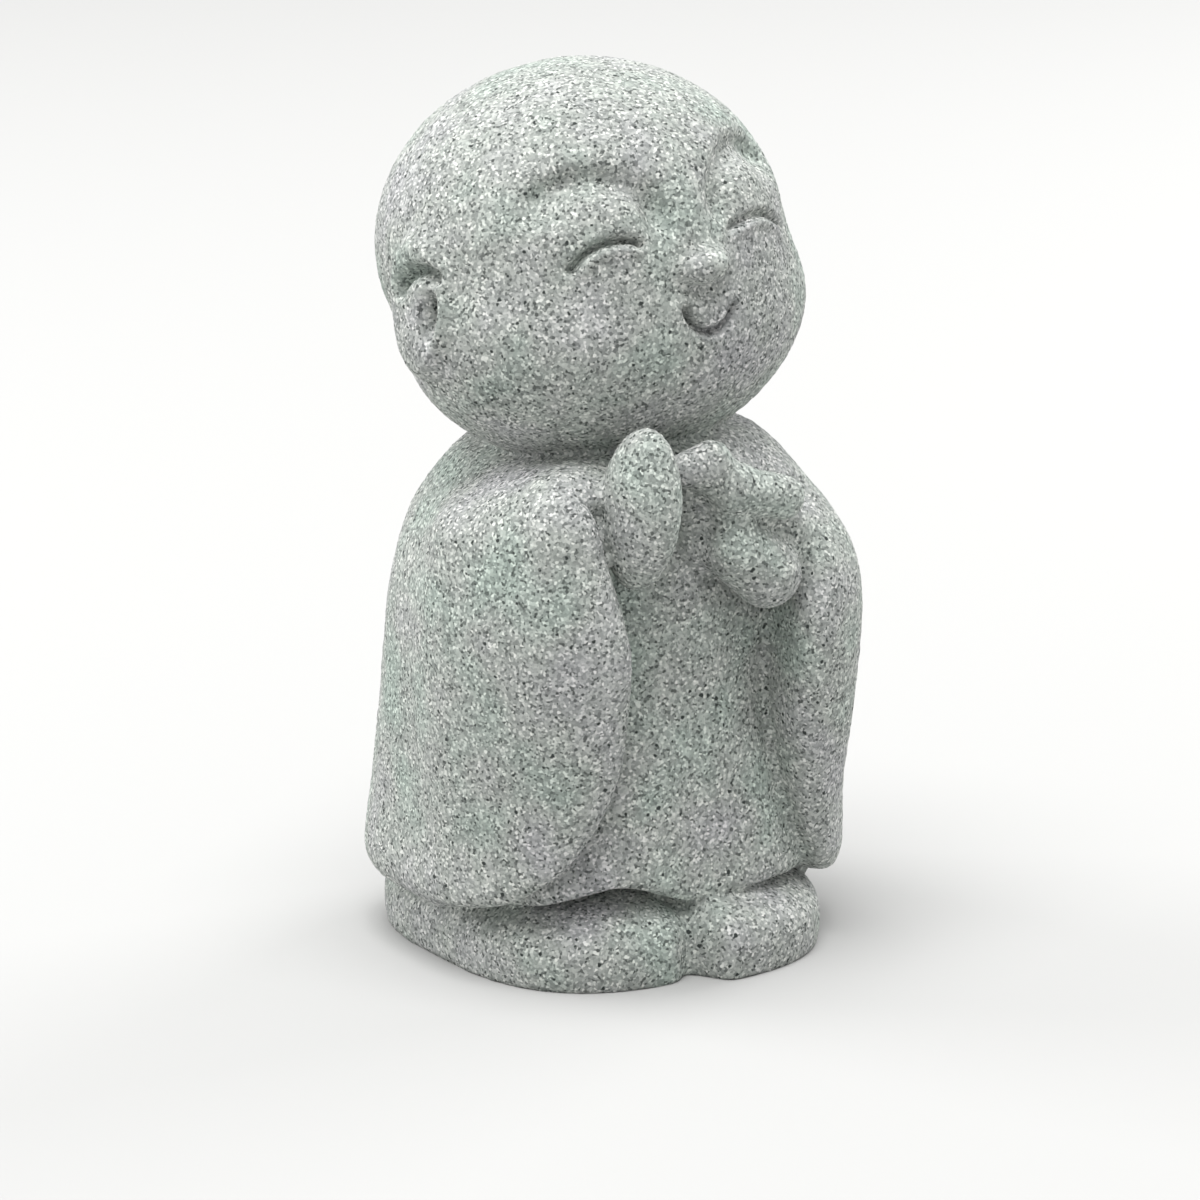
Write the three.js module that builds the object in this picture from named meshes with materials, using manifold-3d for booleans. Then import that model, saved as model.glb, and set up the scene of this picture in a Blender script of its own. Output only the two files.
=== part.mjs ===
// A small standing jizo: a bald child monk in a wide-sleeved robe, cast in one piece of
// stone-like material, 58 mm high. It stands on the flat underside of its two feet.
//
// The figure is modelled the way a sculptor builds with clay. Every lump is a distance
// function: a function of a point that is negative inside the lump and positive outside.
// Lumps are pressed together with soft joins, and hollows are pressed in with soft cuts.
// The finished function is then skinned with a closed mesh of small flat faces.
//
// Millimetres. +Z is up, the figure faces -Y and its right hand is on the -X side.
// The origin is on the ground, under the middle of the figure.

import * as THREE from "three";
import Module from "manifold-3d";
import { mergeVertices } from "three/addons/utils/BufferGeometryUtils.js";

// ---------------------------------------------------------------- driving dimensions

const HEIGHT = 58;
const WIDTH = 31;
const DEPTH = 30;

const CELL = 1.37; // edge of the cells that the skin is laid over
const JOIN = 1.5; // width of the fillet between two lumps, the least that such cells can carry

// The head has its own frame, with x to its left, -y to its face and z to its crown.
const HEAD = {
  centre: [-1.1, 0.46, 44.9],
  pitch: 3.2, // degrees chin up
  roll: 3.5, // degrees towards its right shoulder
  yaw: 4.5, // degrees towards its left
  skull: { centre: [0, 1.13, 1.8], radii: [13.45, 13.4, 11.4] },
  cheeks: { centre: [0, -1.1, -2.85], radii: [14.2, 11.4, 9.6] },
  join: 1.2,
};

// Arcs of the face are ellipses in the head's x and z, with their ends as angles from +x.
const BROW = {
  middle: [5.75, 3.85],
  radii: [3.65, 3.35],
  ends: [26, 178],
  width: 0.95,
  depth: 0.95,
  fade: 20,
};
const SOCKET = { middle: [2.7, 4.1], radii: [1.15, 1.9], depth: 0.55 }; // where it meets the nose
const NOSE = { centre: [0.1, -11.9, 0.95], radii: [1.9, 1.7, 1.5], join: 0.9 };

// Ears are pressed up and grooved in the head's y and z, with angles from +y, the back.
const EAR = {
  middle: [0.1, -0.2],
  radii: [3.3, 4.7],
  rise: 0.6,
  groove: { middle: [-0.6, 0], radii: [2.3, 2.15], ends: [12, 128], width: 0.5, depth: 1.0, fade: 14 },
  hole: { middle: [-1.55, -0.6], radii: [0.6, 1.1], depth: 1.3 },
};

const ROBE = {
  halfWidth: 15.15,
  halfDepth: 14.1,
  squareness: 2.5, // 2 is an ellipse, more is boxier
  shoulderStart: 21, // height where the dome of the shoulders begins
  shoulderRise: 16.2,
  flareStart: 11, // the hem widens below this height
  flare: 0.03,
  hem: 3.9,
  hemRounding: 2.6,
};

// The robe leans: each pair is a height and the y of the robe's middle there.
const LEAN = { hem: [5, 0.85], elbow: [24, -1.65], neck: [31, -0.9] };

// The gown under the sleeves: a hollow front with two cones of cloth that fall over the feet.
const GOWN = {
  halfWidth: 12.4,
  halfDepth: 8.7,
  falls: [
    { from: [-0.3, -5.4, 27], fromRadius: 4.2, to: [-3.4, -3.6, 6], toRadius: 8.8 },
    { from: [-0.3, -5.4, 27], fromRadius: 4.2, to: [3.0, -3.6, 6], toRadius: 8.8 },
  ],
  hem: 4.75,
  seam: -0.3, // x of the V between the arches over the feet
  archWidth: 12,
  archRise: [1.7, 0.45], // over the right foot and over the left foot
};

// The inner edge of each sleeve: how far it is from the middle, and how it sweeps out below.
const OPENING = {
  right: { edge: 6.9, sweep: 0.045 },
  left: { edge: 6.2, sweep: 0.02 },
  sweepStart: 17,
  spreadStart: 23,
  spread: 0.18,
  back: -4,
  front: -12, // it has run out forwards where the chest meets the neck
  closing: [26, 33], // heights between which it runs out
};

// Each sleeve lies over a forearm, from the elbow to the cuff, and hangs straight down from it.
const FOREARMS = [
  { from: [-12.6, -4.0, 28.4], fromRadius: 2.6, to: [-9.4, -9.6, 30.1], toRadius: 3.4 },
  { from: [9.2, -4.6, 22], fromRadius: 3.0, to: [7.8, -9.0, 25.0], toRadius: 3.1 },
];
const DRAPE = { slope: 0.11, start: 4, join: 4.5 };

const RIGHT_HAND = { centre: [-5.9, -12.8, 32.1], radii: [1.75, 2.95, 5.0], yaw: 20, tilt: 4 };
const RIGHT_WRIST = { from: [-9.6, -8.6, 29.2], fromRadius: 2.3, to: [-6.6, -11.4, 30.4], toRadius: 1.9 };

// The left hand is cupped: two fingers above, the palm behind and the thumb below.
const LEFT_HAND = [
  { from: [-1.8, -12.0, 33.8], fromRadius: 1.2, to: [-0.2, -12.4, 34.2], toRadius: 1.4 },
  { from: [-0.2, -12.2, 33.6], fromRadius: 1.4, to: [1.5, -12.6, 32.3], toRadius: 1.5 },
  { from: [1.5, -12.6, 32.3], fromRadius: 1.5, to: [5.0, -13.1, 31.3], toRadius: 1.45 },
  { from: [1.5, -11.7, 32.4], fromRadius: 1.5, to: [2.1, -11.6, 28.8], toRadius: 1.7 },
  { from: [2.0, -12.0, 28.1], fromRadius: 2.1, to: [4.3, -12.3, 26.3], toRadius: 2.3 },
  { from: [3.6, -10.4, 30.4], fromRadius: 2.0, to: [6.6, -10.2, 28.2], toRadius: 2.6 },
  { from: [-0.6, -10.6, 32.6], fromRadius: 1.6, to: [0.6, -9.9, 28.6], toRadius: 2.2 },
];

// The two feet share one outline, which a crease divides. Reaches are from that crease.
const FEET = {
  crease: -1.4,
  right: { across: 12.2, front: 13.3 },
  left: { across: 13.6, front: 14.9 },
  back: 14.2,
  squareness: 2.8,
  uprightness: 2.6, // 2 is an egg's side, more is steeper
  middle: 1.9,
  rise: 4.1,
  rounding: 0.6, // 0 is a straight side down to the ground, 1 is an egg's
  creaseDepth: 1.7,
  creaseWidth: 1.1,
  creaseEnds: [-5, -9],
  blend: 1.8, // the two outlines run into each other over this distance each side
};

// ---------------------------------------------------------------- clay

const { sqrt, abs, min, max, sin, atan2, hypot, exp, PI } = Math;
const radians = (degrees) => (degrees * PI) / 180;
const clamp = (v, low, high) => min(max(v, low), high);
const mix = (a, b, t) => a + (b - a) * t;
const ease = (low, high, v) => {
  const t = clamp((v - low) / (high - low), 0, 1);
  return t * t * (3 - 2 * t);
};

const softMin = (a, b, blend) => {
  const h = max(blend - abs(a - b), 0) / blend;
  return min(a, b) - (h * h * blend) / 4;
};
const softMax = (a, b, blend) => -softMin(-a, -b, blend);

const ellipsoid = ({ centre: [cx, cy, cz], radii: [rx, ry, rz] }) => (x, y, z) => {
  const px = (x - cx) / rx;
  const py = (y - cy) / ry;
  const pz = (z - cz) / rz;
  const near = sqrt(px * px + py * py + pz * pz);
  const slope = sqrt((px / rx) ** 2 + (py / ry) ** 2 + (pz / rz) ** 2);
  return slope < 1e-9 ? -min(rx, ry, rz) : (near * (near - 1)) / slope;
};

// A straight limb with round ends, from one radius to another.
const limb = ({ from, fromRadius, to, toRadius }) => {
  const [ax, ay, az] = from;
  const [dx, dy, dz] = to.map((v, k) => v - from[k]);
  const lengthSquared = dx * dx + dy * dy + dz * dz;
  return (x, y, z) => {
    const t = clamp(((x - ax) * dx + (y - ay) * dy + (z - az) * dz) / lengthSquared, 0, 1);
    const px = x - ax - t * dx;
    const py = y - ay - t * dy;
    const pz = z - az - t * dz;
    return sqrt(px * px + py * py + pz * pz) - mix(fromRadius, toRadius, t);
  };
};

// The same lump in a frame that is turned about a point.
const turned = (form, [cx, cy, cz], [ax, ay, az]) => {
  const euler = new THREE.Euler(radians(ax), radians(ay), radians(az), "ZYX");
  const m = new THREE.Matrix4().makeRotationFromEuler(euler).elements;
  return (x, y, z) => {
    const px = x - cx;
    const py = y - cy;
    const pz = z - cz;
    return form(
      px * m[0] + py * m[1] + pz * m[2],
      px * m[4] + py * m[5] + pz * m[6],
      px * m[8] + py * m[9] + pz * m[10],
    );
  };
};

// How deep a line drawn along part of an ellipse is pressed in, at a point (u, v) near it.
// Each end runs out over twice the degrees of fade.
const pressedArc = ({ middle, radii, ends, width, depth, fade }) => {
  const size = (radii[0] + radii[1]) / 2;
  const half = (ends[1] - ends[0]) / 2;
  const centreAngle = ends[0] + half;
  return (u, v) => {
    const pu = (u - middle[0]) / radii[0];
    const pv = (v - middle[1]) / radii[1];
    const away = ((hypot(pu, pv) - 1) * size) / width;
    const angle = (atan2(pv, pu) * 180) / PI - centreAngle;
    const turn = abs(angle - 360 * Math.round(angle / 360));
    return depth * exp(-away * away) * (1 - ease(half - fade, half + fade, turn));
  };
};

// ---------------------------------------------------------------- the figure

// How far a point (u, v) is from the middle of an ellipse, where the ellipse itself is 1.
const reach = ({ middle, radii }, u, v) => hypot((u - middle[0]) / radii[0], (v - middle[1]) / radii[1]);

// How far each ear stands up from the side of the head, with its groove and hole.
function ears() {
  const groove = pressedArc(EAR.groove);
  return (x, y, z) => {
    const raised = EAR.rise * (1 - ease(0.82, 1.12, reach(EAR, y, z)));
    const sunk = EAR.hole.depth * exp(-(reach(EAR.hole, y, z) ** 2));
    const onTheSide = ease(8, 10, abs(x));
    return (raised - groove(y, z) - sunk) * onTheSide;
  };
}

function head() {
  const skull = ellipsoid(HEAD.skull);
  const cheeks = ellipsoid(HEAD.cheeks);
  const nose = ellipsoid(NOSE);
  const brow = pressedArc(BROW);
  const ear = ears();
  const form = (x, y, z) => {
    const bare = softMin(skull(x, y, z), cheeks(x, y, z), HEAD.join);
    const socket = SOCKET.depth * exp(-(reach(SOCKET, abs(x), z) ** 2));
    const hollows = (brow(abs(x), z) + socket) * ease(0, -2, y);
    const carved = bare + hollows - ear(x, y, z);
    return softMin(carved, nose(x, y, z), NOSE.join);
  };
  return turned(form, HEAD.centre, [-HEAD.pitch, -HEAD.roll, HEAD.yaw]);
}

// The y of the robe's middle at a height.
function lean(z) {
  const { hem, elbow, neck } = LEAN;
  const forward = mix(hem[1], elbow[1], ease(hem[0], elbow[0], z));
  return forward + (neck[1] - elbow[1]) * ease(elbow[0], neck[0], z);
}

// A rounded box-like section under a dome.
function mantle(halfWidth, halfDepth) {
  const n = ROBE.squareness;
  return (x, y, z) => {
    const below = max(ROBE.flareStart - z, 0) / (ROBE.flareStart - LEAN.hem[0]);
    const flare = 1 + ROBE.flare * below ** 1.5;
    const px = abs(x) / (halfWidth * flare);
    const py = abs(y - lean(z)) / (halfDepth * flare);
    const round = (px ** n + py ** n) ** (1 / n);
    const dome = max(z - ROBE.shoulderStart, 0) / ROBE.shoulderRise;
    return (sqrt(round * round + dome * dome) - 1) * halfDepth;
  };
}

// Negative in the space between the two sleeves.
function opening(x, y, z) {
  const side = x < 0 ? OPENING.right : OPENING.left;
  const sweep = side.sweep * max(OPENING.sweepStart - z, 0) ** 2;
  const edge = side.edge + sweep + OPENING.spread * max(z - OPENING.spreadStart, 0);
  const [closing, closed] = OPENING.closing;
  return max(abs(x) - edge, y - mix(OPENING.back, OPENING.front, ease(closing, closed, z)));
}

function gown() {
  const body = mantle(GOWN.halfWidth, GOWN.halfDepth);
  const falls = GOWN.falls.map(limb);
  return (x, y, z) => {
    const rise = GOWN.archRise[x < GOWN.seam ? 0 : 1];
    const across = clamp(abs(x - GOWN.seam) / GOWN.archWidth, 0, 1);
    const hem = GOWN.hem + rise * sin(across * PI) ** 2;
    const cloth = falls.reduce((d, fall) => softMin(d, fall(x, y, z), 1.5), body(x, y, z));
    return softMax(cloth, hem - z, 1.0);
  };
}

function sleeve(forearm) {
  const arm = limb(forearm);
  const axis = (forearm.from[2] + forearm.to[2]) / 2;
  return (x, y, z) => {
    const below = max(axis - z, 0);
    return arm(x, y, max(z, axis)) + (DRAPE.slope * below * below) / (below + DRAPE.start);
  };
}

function robe() {
  const outer = mantle(ROBE.halfWidth, ROBE.halfDepth);
  const under = gown();
  const sleeves = FOREARMS.map(sleeve);
  return (x, y, z) => {
    const shell = sleeves.reduce((d, arm) => softMin(d, arm(x, y, z), DRAPE.join), outer(x, y, z));
    const open = softMax(shell, -opening(x, y, z), 2.2);
    const hemmed = softMax(open, ROBE.hem - z, ROBE.hemRounding);
    return softMin(hemmed, under(x, y, z), JOIN);
  };
}

// Both feet with the heels: one outline, domed above and nearly straight-sided below.
function feet(x, y, z) {
  const { crease, blend, right, left, squareness: n, uprightness: m } = FEET;
  const toLeft = ease(crease - blend, crease + blend, x);
  const front = mix(right.front, left.front, toLeft);
  const px = abs(x - crease) / mix(right.across, left.across, toLeft);
  const py = abs(y) / mix(front, FEET.back, ease(-blend, blend, y));
  const pz = ((z - FEET.middle) / FEET.rise) * (z < FEET.middle ? FEET.rounding : 1);
  const around = (px ** n + py ** n) ** (1 / n);
  const egg = (around ** m + abs(pz) ** m) ** (1 / m) - 1;
  const across = (x - crease) / FEET.creaseWidth;
  const pressed = FEET.creaseDepth * exp(-across * across) * ease(...FEET.creaseEnds, y);
  return egg * front + pressed;
}

function hands() {
  const { centre, radii, yaw, tilt } = RIGHT_HAND;
  const right = turned(ellipsoid({ centre: [0, 0, 0], radii }), centre, [tilt, tilt, yaw]);
  const wrist = limb(RIGHT_WRIST);
  const left = LEFT_HAND.map(limb);
  return (x, y, z) => {
    const cupped = left.reduce((d, part) => softMin(d, part(x, y, z), JOIN / 2), Infinity);
    return min(softMin(right(x, y, z), wrist(x, y, z), 0.5), cupped);
  };
}

function figure() {
  const skull = head();
  const cloth = robe();
  const fingers = hands();
  return (x, y, z) => {
    const dressed = softMin(cloth(x, y, z), feet(x, y, z), JOIN);
    const headed = softMin(dressed, skull(x, y, z), JOIN);
    return softMin(headed, fingers(x, y, z), JOIN / 2);
  };
}

const field = figure();

// ---------------------------------------------------------------- the skin

// Fills each hollow that is too narrow for the cells. Where solid corners of a square of the
// grid meet only across its diagonal, or of a cell only across its middle, two sheets of skin
// would touch along an edge or at a point, so the corners between them become solid too.
const barelySolid = -0.02;
function fillPinches(value, strides) {
  const solid = (n) => value[n] < 0;
  let changed = true;
  const fill = (corners) => {
    corners.filter((n) => !solid(n)).forEach((n) => {
      value[n] = barelySolid;
      changed = true;
    });
  };
  const [sx, sy, sz] = strides;
  const squares = [[sx, sy], [sy, sz], [sz, sx]];
  const cube = [0, sx, sy, sx + sy, sz, sx + sz, sy + sz, sx + sy + sz];
  while (changed) {
    changed = false;
    for (let n = 0; n < value.length - cube[7]; n++) {
      for (const [u, v] of squares) {
        const [a, b, c, d] = [solid(n), solid(n + u), solid(n + v), solid(n + u + v)];
        if (a === d && b === c && a !== b) fill([n, n + u, n + v, n + u + v]);
      }
      for (let c = 0; c < 4; c++) {
        const pair = [n + cube[c], n + cube[7 - c]];
        const rest = cube.map((step) => n + step).filter((m) => !pair.includes(m));
        const pairSolid = pair.every(solid);
        const pairOpen = !pair.some(solid);
        if (pairSolid && !rest.some(solid)) fill(rest);
        if (pairOpen && rest.every(solid)) fill(pair);
      }
    }
  }
}

// Fills each pocket that the air outside can't reach.
function fillPockets(value, strides) {
  const reached = new Uint8Array(value.length);
  const waiting = [0];
  while (waiting.length > 0) {
    const n = waiting.pop();
    if (reached[n] || !(value[n] >= 0)) continue;
    reached[n] = 1;
    for (const step of strides) waiting.push(n - step, n + step);
  }
  value.forEach((distance, n) => {
    if (distance >= 0 && !reached[n]) value[n] = barelySolid;
  });
}

// Smooths a skin. Each pass draws every vertex to the middle of its neighbours, and all but the
// last few then draw it back towards the zero level of the form. No vertex goes further than a
// part of a cell each way.
function relax(positions, faces, form, cell) {
  const PASSES = 5;
  const FREE_PASSES = 1;
  const DRAW = 0.5;
  const FURTHEST = 0.6 * cell;
  const BACK = 0.12 * cell;
  const STEP = 0.3; // mm, for measuring the slope of the form
  const neighbours = Array.from({ length: positions.length / 3 }, () => new Set());
  for (let n = 0; n < faces.length; n += 3) {
    const [a, b, c] = faces.slice(n, n + 3);
    neighbours[a].add(b).add(c);
    neighbours[b].add(c).add(a);
    neighbours[c].add(a).add(b);
  }
  const start = positions.slice();
  for (let pass = 1; pass <= PASSES; pass++) {
    const before = positions.slice();
    const free = pass > PASSES - FREE_PASSES;
    neighbours.forEach((ring, n) => {
      const point = [0, 1, 2].map((axis) => {
        const middle = [...ring].reduce((sum, m) => sum + before[3 * m + axis], 0) / ring.size;
        return mix(before[3 * n + axis], middle, free ? DRAW / 2 : DRAW);
      });
      const slope = [0, 1, 2].map((axis) => {
        const [ahead, behind] = [STEP, -STEP].map((step) => form(...point.with(axis, point[axis] + step)));
        return (ahead - behind) / (2 * STEP);
      });
      const steep = max(slope.reduce((sum, v) => sum + v * v, 0), 0.5);
      const back = free ? 0 : clamp(form(...point) / steep, -BACK, BACK);
      point.forEach((v, axis) => {
        const from = start[3 * n + axis];
        positions[3 * n + axis] = clamp(v - back * slope[axis], from - FURTHEST, from + FURTHEST);
      });
    });
  }
}

// Lays a closed mesh over the zero level of a form: one vertex in each cell that the surface
// passes through, and one four-sided face across each cell edge that it cuts.
function skin(form, low, high, cell) {
  const [nx, ny, nz] = [0, 1, 2].map((k) => Math.ceil((high[k] - low[k]) / cell) + 1);
  const at = (i, j, k) => (k * ny + j) * nx + i;
  const value = new Float64Array(nx * ny * nz);
  for (let k = 0; k < nz; k++) {
    for (let j = 0; j < ny; j++) {
      for (let i = 0; i < nx; i++) {
        value[at(i, j, k)] = form(low[0] + i * cell, low[1] + j * cell, low[2] + k * cell);
      }
    }
  }

  const strides = [1, nx, nx * ny];
  fillPinches(value, strides);
  fillPockets(value, strides);

  const corners = [];
  const edges = [];
  for (let c = 0; c < 8; c++) {
    corners.push([c & 1, (c >> 1) & 1, c >> 2]);
    for (const step of [1, 2, 4]) {
      if (!(c & step)) edges.push([c, c | step]);
    }
  }

  const positions = [];
  const vertexOf = new Map();
  for (let k = 0; k < nz - 1; k++) {
    for (let j = 0; j < ny - 1; j++) {
      for (let i = 0; i < nx - 1; i++) {
        const values = corners.map(([a, b, c]) => value[at(i + a, j + b, k + c)]);
        const sum = [0, 0, 0];
        let crossings = 0;
        for (const [a, b] of edges) {
          if (values[a] < 0 === values[b] < 0) continue;
          const t = values[a] / (values[a] - values[b]);
          for (let n = 0; n < 3; n++) sum[n] += mix(corners[a][n], corners[b][n], t);
          crossings += 1;
        }
        if (crossings === 0) continue;
        vertexOf.set(at(i, j, k), positions.length / 3);
        [i, j, k].forEach((n, axis) => {
          positions.push(low[axis] + (n + sum[axis] / crossings) * cell);
        });
      }
    }
  }

  const faces = [];
  for (let k = 1; k < nz - 1; k++) {
    for (let j = 1; j < ny - 1; j++) {
      for (let i = 1; i < nx - 1; i++) {
        const here = at(i, j, k);
        const inside = value[here] < 0;
        for (let axis = 0; axis < 3; axis++) {
          if (inside === value[here + strides[axis]] < 0) continue;
          const u = strides[(axis + 1) % 3];
          const v = strides[(axis + 2) % 3];
          const ring = [here, here - u, here - u - v, here - v].map((c) => vertexOf.get(c));
          const [a, b, c, d] = inside ? ring : ring.reverse();
          faces.push(a, b, c, a, c, d);
        }
      }
    }
  }

  relax(positions, faces, form, cell);
  const geometry = new THREE.BufferGeometry();
  geometry.setAttribute("position", new THREE.Float32BufferAttribute(positions, 3));
  geometry.setIndex(faces);
  return geometry;
}

// ---------------------------------------------------------------- underside and overall size

const wasm = await Module();
wasm.setup();

function solidOf(geometry) {
  return new wasm.Manifold(new wasm.Mesh({
    numProp: 3,
    vertProperties: new Float32Array(geometry.attributes.position.array),
    triVerts: new Uint32Array(geometry.index.array),
  }));
}

function geometryOf(solid) {
  const mesh = solid.getMesh();
  const geometry = new THREE.BufferGeometry();
  geometry.setAttribute("position", new THREE.Float32BufferAttribute(mesh.vertProperties, 3));
  geometry.setIndex(Array.from(mesh.triVerts));
  return geometry;
}

// Cuts everything below the ground away, which leaves the flat that the figure stands on.
function flatBelow(solid) {
  const BLOCK = 60;
  const box = new THREE.BoxGeometry(BLOCK, BLOCK, BLOCK);
  box.translate(0, 0, -BLOCK / 2);
  box.deleteAttribute("normal");
  box.deleteAttribute("uv");
  return solid.subtract(solidOf(mergeVertices(box)));
}

// Centres the figure over the origin and brings it to its overall size.
function fitted(geometry) {
  geometry.computeBoundingBox();
  const { min: low, max: high } = geometry.boundingBox;
  geometry.translate(-(low.x + high.x) / 2, -(low.y + high.y) / 2, -low.z);
  geometry.scale(WIDTH / (high.x - low.x), DEPTH / (high.y - low.y), HEIGHT / (high.z - low.z));
  return geometry;
}

// The skin is closed a little below the ground, for the cut to take off. The ground lies on a
// layer of the cells, so that the cut passes halfway between the skin's rings of vertices.
const MARGIN = 2.5;
const belowGround = 1.5 * CELL;
const closedBelow = (x, y, z) => max(field(x, y, z), -belowGround - z);
const lowCorner = [-WIDTH / 2 - MARGIN, -DEPTH / 2 - MARGIN, -3 * CELL];
const highCorner = [WIDTH / 2 + MARGIN, DEPTH / 2 + MARGIN, HEIGHT + MARGIN];
const rough = solidOf(skin(closedBelow, lowCorner, highCorner, CELL));

const stone = new THREE.MeshStandardMaterial({ color: 0xa3aaa5, roughness: 0.95, metalness: 0 });
const statue = new THREE.Mesh(fitted(geometryOf(flatBelow(rough))), stone);
statue.name = "jizo_statue";

const root = new THREE.Group();
root.add(statue);
export default root;
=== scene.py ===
# %% [markdown]
# # A small stone jizo
#
# A jizo is a child monk: a round bald head, closed smiling eyes, a robe with wide sleeves and two
# hands raised at the chest. This one is 58 mm high. It is cast in one piece from sand bound with
# a stone-coloured cement, and it stands on the flat underside of its feet.
#
# The whole figure is one soft lump with no seams, so it can't be put together from cylinders and
# boxes. It is modelled like clay instead. Each lump is a distance function, which says how far a
# point is from the lump's surface, negative inside. Lumps are pressed together by blending their
# distances, and a mesh is laid over the places where the blended distance is zero.

# %% Load the frame
import math

import bmesh
import bpy
import numpy as np
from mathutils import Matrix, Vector


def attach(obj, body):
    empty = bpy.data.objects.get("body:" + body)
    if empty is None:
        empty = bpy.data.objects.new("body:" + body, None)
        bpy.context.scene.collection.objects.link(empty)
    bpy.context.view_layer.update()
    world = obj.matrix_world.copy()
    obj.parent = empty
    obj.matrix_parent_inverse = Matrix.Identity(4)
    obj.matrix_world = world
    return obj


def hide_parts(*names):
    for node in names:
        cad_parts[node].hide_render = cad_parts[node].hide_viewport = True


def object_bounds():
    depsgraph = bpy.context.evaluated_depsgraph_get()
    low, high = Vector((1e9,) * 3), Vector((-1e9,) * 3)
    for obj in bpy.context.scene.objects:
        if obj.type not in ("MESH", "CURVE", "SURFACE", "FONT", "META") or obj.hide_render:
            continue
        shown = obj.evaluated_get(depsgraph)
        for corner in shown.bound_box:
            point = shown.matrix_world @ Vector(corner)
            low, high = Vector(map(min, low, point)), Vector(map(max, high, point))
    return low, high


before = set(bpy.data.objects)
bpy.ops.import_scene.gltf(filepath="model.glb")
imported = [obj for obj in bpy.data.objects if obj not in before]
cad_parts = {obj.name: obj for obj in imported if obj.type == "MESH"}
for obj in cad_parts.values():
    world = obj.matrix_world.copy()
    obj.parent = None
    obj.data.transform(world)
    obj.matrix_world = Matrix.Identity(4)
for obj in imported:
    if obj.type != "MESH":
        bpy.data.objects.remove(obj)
solid_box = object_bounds()
MM = 0.001
print("solid, mm:", [round((high - low) / MM, 1) for low, high in zip(*solid_box)])

# %% [markdown]
# ## Clay helpers
#
# All of these work on numpy arrays, so that one call answers for many points at once. The soft
# minimum joins two lumps with a fillet. The soft maximum does the same for a cut. Every length
# in these cells is in millimetres.


# %% Soft joins and cuts
def mix(a, b, t):
    return a + (b - a) * t


def ease(low, high, v):
    t = np.clip((v - low) / (high - low), 0, 1)
    return t * t * (3 - 2 * t)


def soft_min(a, b, blend):
    h = np.maximum(blend - np.abs(a - b), 0) / blend
    return np.minimum(a, b) - h * h * blend / 4


def soft_max(a, b, blend):
    return -soft_min(-a, -b, blend)


print("a join 0.6 mm wide adds at most", -soft_min(0.0, 0.0, 0.6), "mm of clay")


# %% Lumps of clay
def ellipsoid(centre, radii):
    (cx, cy, cz), (rx, ry, rz) = centre, radii

    def form(x, y, z):
        px, py, pz = (x - cx) / rx, (y - cy) / ry, (z - cz) / rz
        near = np.sqrt(px * px + py * py + pz * pz)
        slope = np.sqrt((px / rx) ** 2 + (py / ry) ** 2 + (pz / rz) ** 2)
        return near * (near - 1) / np.maximum(slope, 1e-9)

    return form


def limb(start, start_radius, end, end_radius):
    """A straight limb with round ends."""
    (ax, ay, az), (dx, dy, dz) = start, np.subtract(end, start)
    length_squared = dx * dx + dy * dy + dz * dz

    def form(x, y, z):
        t = np.clip(((x - ax) * dx + (y - ay) * dy + (z - az) * dz) / length_squared, 0, 1)
        px, py, pz = x - ax - t * dx, y - ay - t * dy, z - az - t * dz
        return np.sqrt(px * px + py * py + pz * pz) - mix(start_radius, end_radius, t)

    return form


def turned(form, centre, tilt):
    """The same lump in a frame turned about x, then y, then z."""
    turns = [math.radians(angle) for angle in tilt]
    (cx, cy, cz), (sx, sy, sz) = [math.cos(a) for a in turns], [math.sin(a) for a in turns]
    about_x = np.array([[1, 0, 0], [0, cx, -sx], [0, sx, cx]])
    about_y = np.array([[cy, 0, sy], [0, 1, 0], [-sy, 0, cy]])
    about_z = np.array([[cz, -sz, 0], [sz, cz, 0], [0, 0, 1]])
    m = about_z @ about_y @ about_x

    def form_there(x, y, z):
        p = (x - centre[0], y - centre[1], z - centre[2])
        return form(*[p[0] * m[0, k] + p[1] * m[1, k] + p[2] * m[2, k] for k in range(3)])

    return form_there


# %% Marks pressed into the clay
def pressed_arc(middle, radii, ends, width, depth, fade=14):
    """How deep a line along part of an ellipse is pressed in, at a point (u, v) near it.

    The line runs between two angles, and it fades out over a few degrees at each end.
    """
    size = (radii[0] + radii[1]) / 2
    half = (ends[1] - ends[0]) / 2
    centre_angle = ends[0] + half

    def press(u, v):
        pu, pv = (u - middle[0]) / radii[0], (v - middle[1]) / radii[1]
        away = (np.hypot(pu, pv) - 1) * size / width
        turn = np.abs((np.degrees(np.arctan2(pv, pu)) - centre_angle + 180) % 360 - 180)
        return depth * np.exp(-away * away) * (1 - ease(half - fade, half + fade, turn))

    return press


def pressed_hollow(middle, radii, depth):
    """How deep a soft round hollow is pressed in, at a point (u, v) near it."""

    def press(u, v):
        away = np.hypot((u - middle[0]) / radii[0], (v - middle[1]) / radii[1])
        return depth * np.exp(-away * away)

    return press


ball = ellipsoid((0, 0, 0), (5, 5, 5))
print("8 mm from the middle of a 5 mm ball:", round(float(ball(8, 0, 0)), 1), "mm from its skin")


# %% [markdown]
# ## The head
#
# The head is a ball of a skull pressed into a wider, flatter ball of cheeks. It has a frame of
# its own, with x to its left, -y to its face and z to its crown, because it tips towards its
# right shoulder. The brows are broad hollows that run down beside the nose. The nose is a button
# with a hollow under it, and each ear is a low raised shell with a groove and a hole in it.

# %% The head
HEAD_CENTRE = (-1.1, 0.46, 44.9)
HEAD_TILT = (-3.2, -3.5, 4.5)  # degrees: chin up, to its right shoulder, to its left

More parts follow.
